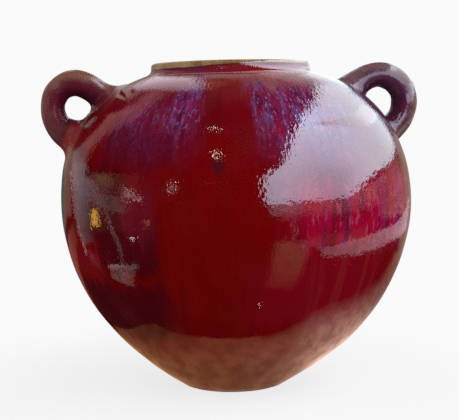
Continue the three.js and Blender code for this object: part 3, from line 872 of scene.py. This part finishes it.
# its lower part stands near, so that only the collar and lip mirror it this low
sky_panel("window_near", [(44, 6.6, 10.0, 0.9, 0.9), (58, 1.4, 10.0), (70, -1.8, 10.0), (83, -2.9, 10.0), (96, -2.9, 9.5, 0.76, 0.76),
                          (110, -2.5, 9.5, 0.50, 0.44), (122, -1.8, 10.0, 0.40, 0.32)], (0.76, 0.90, 0.98), 6.8, distance=0.16, centre=(0.0, 0.0, 0.25), mottle=(9.0, 0.9, 1.05))
sky_panel("window_near_side", [(122, -0.8, 11.5, 0.80, 0.70), (133, -0.5, 14.5, 0.75), (146, -0.5, 17.0, 0.55), (158, -0.5, 18.0, 0.50)], (0.80, 0.92, 1.0), 3.2,
          distance=0.16, centre=(0.0, 0.0, 0.25))
ribbon("finger", [(117.0, 52.0, 123.0, 52.0), (119.5, 55.5, 123.8, 54.6), (121.6, 58.6, 124.2, 57.2, 0.9, 0.9)], (0.80, 0.80, 1.0), 7.0, distance=7.8,
       across=4, mottle=(10.0, 0.2, 1.3))
sky_panel("veil_right", [(150, 44.0, 48, 0.5, 0.1), (158, 37.4, 46, 0.9, 0.3), (162, 33.0, 44, 1.0, 0.4), (166, 28.0, 41, 1.0, 0.5), (170, 24.0, 38, 1.0, 0.6), (182, 22, 35, 0.9, 0.6)],
          (0.80, 0.93, 1.0), 0.75, distance=7.5, mottle=(7.0, 0.45, 1.4))
sky_panel("edge_right", [(167.2, 12.5, 26.0), (170, 9, 24.5), (174, 5, 23), (180, 4, 22), (186, 4, 20, 0.7)], (0.90, 0.95, 1.0), 1.75, distance=7.6)
sky_panel("window_foot", [(21, -8, -1.6, 0.0, 0.9), (30, -10.5, -1.3, 0.0, 1.0), (40, -9.5, -0.8, 0.0, 0.8), (48, -6, -0.6, 0.0, 0.4)],
          (0.9, 0.86, 1.0), 3.4, distance=7.8, across=8, mottle=(12.0, -0.35, 1.5))
ribbon("window_frame", [(35.4, -8.5, 36.4, -8.5), (36.2, -15.5, 37.2, -15.5), (37.4, -22.5, 38.2, -22.5, 0.4)], (0.9, 0.86, 1.0), 2.6,
       distance=7.8, across=2, mottle=(9.0, 0.1, 1.4))
sky_panel("glints", [(46, -9, -0.6, 0.2, 1.0), (70, -8, 0.8, 0.2, 1.0), (96, -4, 5.5, 0.3, 1.0), (126, 2, 8.0, 0.3, 1.0)],
          (1.0, 0.80, 0.85), 3.0, distance=7.8, steps=6, across=8, mottle=(21.0, -1.3, 1.6))
# soft light for the colour of the glaze; the glaze doesn't mirror it
sky_panel("key", [(-10, 6, 66, 0.8), (40, 4, 66), (110, 4, 66), (150, 6, 60, 0.8)], (1.0, 0.985, 0.98), 3.2, glossy=False, diffuse=True)
sky_panel("fill", [(-170, 0, 62, 0.9), (-100, 0, 62), (-10, 0, 62)], (1.0, 0.98, 0.97), 1.55, glossy=False, diffuse=True)
# the dimmer parts of a plain room
WARM, GREY, TAN = (1.0, 0.84, 0.80), (0.80, 0.95, 1.0), (1.0, 0.59, 0.41)
sky_panel("strip_right", [(30, -24.5, -21.5, 0.12), (56, -26.5, -23.5, 0.35), (62, -29.5, -26.5, 0.9), (74, -28, -23.6, 1.2),
                          (90, -26, -19.5, 1.25), (109, -21, -14.5, 1.15), (126, -16, -10, 1.0), (143, -12, -6, 0.85), (152, -9, -3, 0.8)],
          (1.0, 0.86, 0.92), 1.45, distance=7.0, mottle=(11.0, 0.30, 1.45))
sky_panel("box_right", [(24, -50, -23.5, 0.0, 0.2), (27.5, -50, -23.5, 0.20, 0.95), (36, -50, -24, 0.22, 1.0), (46, -50, -24, 0.20, 0.95), (51, -50, -23.5, 0.0, 0.3)],
          (1.0, 0.68, 0.42), 1.12, distance=7.2, mottle=(4.0, 0.7, 1.15))
sky_panel("shade_right", [(46, -24, -20, 0.3, 0.3), (60, -25, -18, 0.7, 0.3), (92, -20, -14, 0.6, 0.2)], TAN, 0.8, distance=7.3, mottle=(6.0, 0.5, 1.3))
sky_panel("brown_right", [(103, -7, 4, 0.4, 0.6), (110, -9, 6), (124, -8, 8.5), (137, -7, 8)], (1.0, 0.60, 0.50), 1.0, distance=7.3, mottle=(9.0, -0.1, 1.6))
sky_panel("wall_right", [(136, -12, 5, 0.5, 0.8), (146, -14, 6, 0.6, 0.9), (156, -16, 5, 0.6, 0.9), (170, -18, 4, 0.55, 0.8), (180, -18, 2, 0.4, 0.6)],
          (1.0, 0.88, 0.74), 0.55, distance=7.4, mottle=(4.0, 0.7, 1.15))
sky_panel("wall_left", [(-178, 4, 24, 0.5, 0.8), (-168, -2, 30, 0.6, 1.8), (-160, -8, 36, 0.6, 2.2), (-150, -7, 36.5, 0.7, 2.1), (-142, -6, 36.5, 0.7, 1.9),
                        (-137, -6, 34, 0.9, 1.6), (-133, -6, 18, 0.9, 1.2)], (0.95, 0.84, 0.72), 0.32, distance=7.4, mottle=(3.0, 0.8, 1.15))
sky_panel("red_left", [(-165, -15, -9, 0.6), (-152, -16, -9), (-142, -14, -9, 0.8), (-132, -13, -8, 0.8)], (1.0, 0.36, 0.28), 0.36, distance=7.3)
ribbon("beam_left", [(-163, 39, -148, 54, 0.5, 0.3), (-155, 42, -128, 57, 0.9, 0.6), (-137, 45, -108, 49, 1.0, 0.7), (-134.5, 37, -108, 38, 1.0, 0.7),
                     (-135.5, 29, -113, 29, 1.1, 0.9), (-137.5, 19, -117, 20, 1.1, 0.9), (-143, 10, -119, 13, 0.8, 0.7)],
       (1.0, 0.50, 0.48), 0.95, distance=7.2, mottle=(3.0, 0.75, 1.15))
ribbon("post_left", [(-146.0, 13.5, -137.0, 17.0, 0.15, 0.15), (-141.0, 10.0, -122.0, 15.0, 0.5, 0.4), (-136.0, 6.4, -116.1, 11.5, 0.9, 0.8), (-129.3, 2.0, -110.9, 4.4, 1.05, 0.9), (-124.9, -2.7, -107.5, -1.9, 0.75, 0.65),
                     (-123.3, -8.7, -107.5, -9.4, 0.5, 0.35), (-124.2, -15.6, -108.0, -16.5, 0.4, 0.10)], GREY, 1.05, distance=7.1, mottle=(3.5, 0.75, 1.2))
ribbon("post_edge", [(-136.6, 4.0, -135.2, 4.4), (-128.8, -2.0, -127.6, -2.0), (-124.6, -9.0, -123.4, -9.0), (-123.6, -17.5, -122.6, -17.6)],
       WARM, 2.2, distance=7.0, across=2, mottle=(8.0, 0.2, 1.4))
ribbon("shelf_left", [(-109, -14, -107, 9, 0.2, 0.9), (-96, -13, -94, 11, 0.25, 1.1), (-82, -13, -80, 12, 0.3, 0.7), (-69, -14, -60, 15, 0.2, 0.35)],
       (1.0, 0.60, 0.42), 0.60, distance=7.3, mottle=(4.5, 0.15, 1.4))
ribbon("haze_left", [(-114, 0.0, -114, 6.5, 1.2, 1.2), (-96, -3.0, -96, 4.2, 1.0, 0.7), (-84, -4.5, -84, 2.5, 1.0, 0.6), (-71, -5, -71, 3.5, 0.5, 0.6)],
       (1.0, 0.84, 0.84), 1.15, distance=7.2, mottle=(5.0, 0.2, 1.4))
ribbon("olive_left", [(-99.5, 5.0, -99.0, 9.5), (-90, 5.0, -90, 9.8), (-83, 4.4, -83, 7.5, 0.6)], (1.0, 0.78, 0.42), 1.15, distance=7.1, mottle=(9.0, 0.1, 1.5))
ribbon("bright_left", [(-76.5, 2.9, -76.5, 5.4, 0.5), (-70, 2.0, -70, 4.6, 0.9), (-60.5, 0.6, -60.5, 2.4, 0.8)], WARM, 5.5, distance=7.0, mottle=(18.0, -0.6, 1.7))
ribbon("strand", [(-90.2, -5.3, -89.2, -5.3), (-87.1, -13.0, -86.1, -13.0), (-84.9, -22.2, -83.9, -22.2), (-87.4, -27, -86.6, -27, 0.5)],
       WARM, 3.4, distance=7.0, across=2, mottle=(10.0, 0.5, 1.2))
ribbon("paper_left", [(-98.5, -25.5, -105, -29.5, 0.7, 0.4), (-88, -27.6, -97, -35.5, 1.0, 0.9), (-77, -29.8, -89, -38.5, 0.6, 0.8)],
       WARM, 1.35, distance=7.0, mottle=(13.0, 0.0, 1.5))
ribbon("paper_edge", [(-100, -25.0, -101, -26.0), (-88, -27.0, -89, -28.0, 1.2), (-74, -29.3, -74.5, -30.3)], WARM, 2.2, distance=6.9, across=2, mottle=(12.0, 0.1, 1.5))
ribbon("red_blob", [(-121, -20, -119, -17.5), (-112, -24.5, -109, -20.5)], (1.0, 0.20, 0.40), 0.7, distance=7.0, mottle=(14.0, -0.4, 1.6))
ribbon("teal_left", [(-166, -7.5, -166, 0.0, 0.7), (-157, -7.0, -157, 0.5), (-152.5, -5.5, -152.5, -1.0, 0.5)], (0.10, 0.85, 0.78), 0.22, distance=7.2)
sky_panel("line_mid", [(-20, 11.9, 12.5), (-12, 11.7, 12.3)], (1.0, 0.25, 0.35), 1.6, distance=7.0, across=2)
sky_panel("back_glow", [(170, -12, 30, 0.10), (178, -12, 30, 0.3), (192, -12, 30, 0.7)], (1.0, 0.90, 0.92), 0.5)
ribbon("roof_patch", [(-155.5, 34, -149.5, 56, 0.15, 0.20), (-161, 26, -155, 61, 0.70, 0.80), (-166.5, 21, -160, 62, 0.85, 1.0), (-170, 20, -164, 57, 0.95, 1.0),
                      (-174, 24, -167.5, 53, 1.0, 1.0), (-175.5, 25, -169, 53.5, 0.15, 0.10)],
       (0.92, 0.86, 1.0), 1.85, distance=7.0, mottle=(5.0, 0.8, 1.15))
for tag, (a_, e_, w_, h_, k_) in {"a": (-22.5, 60.2, 3.6, 1.4, 44.0), "b": (-17.0, 57.6, 2.0, 1.2, 22.0), "c": (-12.8, 37.2, 1.9, 1.7, 38.0),
                                  "d": (-11.2, 34.4, 1.6, 1.4, 16.0), "e": (-39.2, 9.0, 1.3, 1.3, 75.0), "f": (-70.5, -18.3, 2.2, 0.7, 34.0),
                                  "g": (25.0, -61, 0.7, 0.7, 90.0), "h": (-40.0, 7.8, 3.4, 2.8, 3.0)}.items():
    sky_panel("lamp_" + tag, [(a_ - w_ / 2, e_ - h_ / 2, e_ + h_ / 2), (a_ + w_ / 2, e_ - h_ / 2, e_ + h_ / 2)],
              (1.0, 0.90, 0.82), k_, distance=6.8, steps=2, across=2)
sky_panel("lamp_gold", [(-105.2, -10.6, -4.2), (-97.6, -10.6, -4.2)], (1.0, 0.52, 0.10), 9.0, distance=6.8, mottle=(22.0, -0.3, 1.8))
sky_panel("lamp_gold_2", [(-58.6, -11.4, -8.8), (-56.2, -11.4, -8.8)], (1.0, 0.50, 0.14), 5.0, distance=6.8, mottle=(22.0, 0.2, 1.5))

# plain black flags, which keep most of the window and wall off the left handle
LOOP = (-0.1260, -0.0100, 0.2240)
for tag, a0, a1, e0, e1, reach, hub in (("1", 12, 50, -14, 47, 0.085, LOOP), ("2", 72, 102, -14, 34, 0.036, LOOP), ("3", 12, 62, 47, 66, 0.085, LOOP),
                                        ("4", 92, 142, 42, 68, 0.020, (-0.1040, -0.0070, 0.2400)), ("5", -161.5, -146, 4, 28, 0.085, (-0.1126, -0.0266, 0.2180)),
                                        ("6", 40, 64, -14, 60, 0.036, LOOP), ("7", 64, 88, 34, 60, 0.036, LOOP)):
    flag = sky_panel("flag_" + tag, [(a0, e0, e1), (a1, e0, e1)], (0.5, 0.5, 0.5), 0.0, distance=reach, steps=8, across=8, centre=hub)
    flag.data.materials[0].cycles.emission_sampling = "NONE"

# pale floor; the glaze mirrors a warm table top near the foot instead
bpy.ops.mesh.primitive_plane_add(size=60.0, location=(0, 0, 0))
floor = bpy.context.object
floor.name = "floor"
fm = bpy.data.materials.new("floor")
fm.use_nodes = True
ft = fm.node_tree
ft.nodes.clear()
fd = ft.nodes.new("ShaderNodeBsdfDiffuse")
fd.inputs["Color"].default_value = (0.62, 0.62, 0.62, 1)
fe = ft.nodes.new("ShaderNodeEmission")
fe.inputs["Color"].default_value = (0.955, 0.955, 0.955, 1)
fg = ft.nodes.new("ShaderNodeNewGeometry")
fl = ft.nodes.new("ShaderNodeVectorMath")
fl.operation = "LENGTH"
fr = ft.nodes.new("ShaderNodeMapRange")
fr.interpolation_type = "SMOOTHSTEP"
fr.inputs["From Min"].default_value = 0.14
fr.inputs["From Max"].default_value = 0.42
fr.inputs["To Min"].default_value = 0.80
fx = ft.nodes.new("ShaderNodeMixShader")
fo = ft.nodes.new("ShaderNodeOutputMaterial")
ft.links.new(fg.outputs["Position"], fl.inputs[0])
ft.links.new(fl.outputs["Value"], fr.inputs["Value"])
ft.links.new(fr.outputs["Result"], fx.inputs[0])
ft.links.new(fd.outputs[0], fx.inputs[1])
ft.links.new(fe.outputs[0], fx.inputs[2])
ft.links.new(fx.outputs[0], fo.inputs["Surface"])
floor.data.materials.append(fm)
floor.visible_glossy = False

# table top, seen only in the glaze: rows from its front edge back
edge = np.array([(-0.130, -0.030), (-0.128, -0.054), (-0.105, -0.064), (-0.086, -0.076), (-0.064, -0.090), (-0.037, -0.102),
                 (-0.015, -0.107), (0.008, -0.111), (0.034, -0.112), (0.056, -0.118), (0.085, -0.127), (0.120, -0.116),
                 (0.152, -0.095), (0.218, -0.040), (0.253, 0.005), (0.312, 0.050), (0.420, 0.150)])
along = np.array([(-0.130, 0.30), (-0.120, 0.36), (-0.096, 0.45), (-0.072, 0.64), (-0.061, 0.80), (-0.033, 1.08), (-0.010, 1.13),
                  (0.026, 1.05), (0.049, 1.40), (0.076, 1.70), (0.111, 1.45), (0.146, 1.05), (0.194, 0.48), (0.260, 0.30), (0.330, 0.30), (0.420, 0.40)])
xs = np.linspace(-0.130, 0.42, 70)
back = np.array([0.0, 0.003, 0.008, 0.016, 0.027, 0.042, 0.062, 0.09, 0.13, 0.20, 0.30])
tverts, tfaces, tlevel, ttone = [], [], [], []
for x_ in xs:
    y_ = float(np.interp(x_, edge[:, 0], edge[:, 1]))
    soft = float(np.interp(x_, [-0.02, 0.06, 0.12, 0.20], [0.003, 0.018, 0.045, 0.050]))
    for t_ in back:
        r_ = math.hypot(x_, y_ + t_)
        near = float(np.interp(r_, [0.036, 0.044, 0.056, 0.080], [0.45, 0.54, 0.62, 1.0]))
        fade = min(1.0, t_ / soft) ** 1.2
        tverts.append((x_, y_ + t_, -0.0005))
        near *= float(np.interp(y_ + t_ - (0.050 + 3.0 * (x_ + 0.130)), [0.0, 0.03], [1.0, 0.0]))
        tlevel.append(float(np.interp(x_, along[:, 0], along[:, 1])) * near * (0.10 + 0.90 * fade if x_ > 0 else 0.6 + 0.4 * fade))
        ttone.append(float(np.interp(x_, [-0.02, 0.08], [0.0, 1.0])))
for i in range(len(xs) - 1):
    for k in range(len(back) - 1):
        q = i * len(back) + k
        tfaces.append((q, q + len(back), q + len(back) + 1, q + 1))
table = mesh_object("table_glow", tverts, tfaces, attributes={"level": tlevel, "tone": ttone})
table.data.materials.append(glow("table_glow", (1.0, 0.47, 0.21), 1.0, mottle=(46.0, 0.70, 1.22), tone=(1.0, 0.64, 0.50)))
table.visible_camera = False
table.visible_diffuse = False
table.visible_shadow = False

w = bpy.data.worlds.new("studio")
bpy.context.scene.world = w
w.use_nodes = True
t = w.node_tree
t.nodes.clear()
path = t.nodes.new("ShaderNodeLightPath")
pale = t.nodes.new("ShaderNodeBackground")
pale.inputs["Color"].default_value = (0.955, 0.955, 0.955, 1)
dark = t.nodes.new("ShaderNodeBackground")
dark.inputs["Color"].default_value = (0.012, 0.010, 0.011, 1)
mixw = t.nodes.new("ShaderNodeMixShader")
wo = t.nodes.new("ShaderNodeOutputWorld")
t.links.new(path.outputs["Is Camera Ray"], mixw.inputs[0])
t.links.new(dark.outputs[0], mixw.inputs[1])
t.links.new(pale.outputs[0], mixw.inputs[2])
t.links.new(mixw.outputs[0], wo.inputs["Surface"])

# ---------------------------------------------------------------------- camera
FOCAL = 0.950 / 0.797 * 1000.0  # pixels at 459 wide
eye = Vector((0.950 * math.sin(CAM_AZ), -0.950 * math.cos(CAM_AZ), 0.212))
forward = (Vector((0, 0, 0.130)) - eye).normalized()
right = forward.cross(Vector((0, 0, 1))).normalized()
up = right.cross(forward).normalized()
roll = math.radians(1.05)
ix, iy = (229.5 - 237.4) / FOCAL, (221.0 - 210.0) / FOCAL
x = ix * math.cos(roll) + iy * math.sin(roll)
y = -ix * math.sin(roll) + iy * math.cos(roll)
forward = (forward + right * x + up * y).normalized()
side_axis = right * math.cos(roll) - up * math.sin(roll)
side_axis = (side_axis - forward * side_axis.dot(forward)).normalized()
up_axis = side_axis.cross(forward).normalized()
cam_data = bpy.data.cameras.new("camera")
cam_data.sensor_width = 36.0
cam_data.lens = 36.0 * FOCAL / 459.0
cam_data.clip_start, cam_data.clip_end = 0.02, 100.0
cam = bpy.data.objects.new("camera", cam_data)
bpy.context.scene.collection.objects.link(cam)
rot = Matrix((
    (side_axis.x, up_axis.x, -forward.x),
    (side_axis.y, up_axis.y, -forward.y),
    (side_axis.z, up_axis.z, -forward.z),
))
cam.matrix_world = Matrix.Translation(eye) @ rot.to_4x4()
bpy.context.scene.camera = cam

bpy.context.scene.view_settings.view_transform = "Standard"
bpy.context.scene.view_settings.look = "None"
bpy.context.scene.view_settings.exposure = 0.0
bpy.context.scene.view_settings.gamma = 1.0
# the glaze's sparks are a pixel or two wide: a denoiser wipes them out
bpy.context.scene.cycles.use_denoising = False
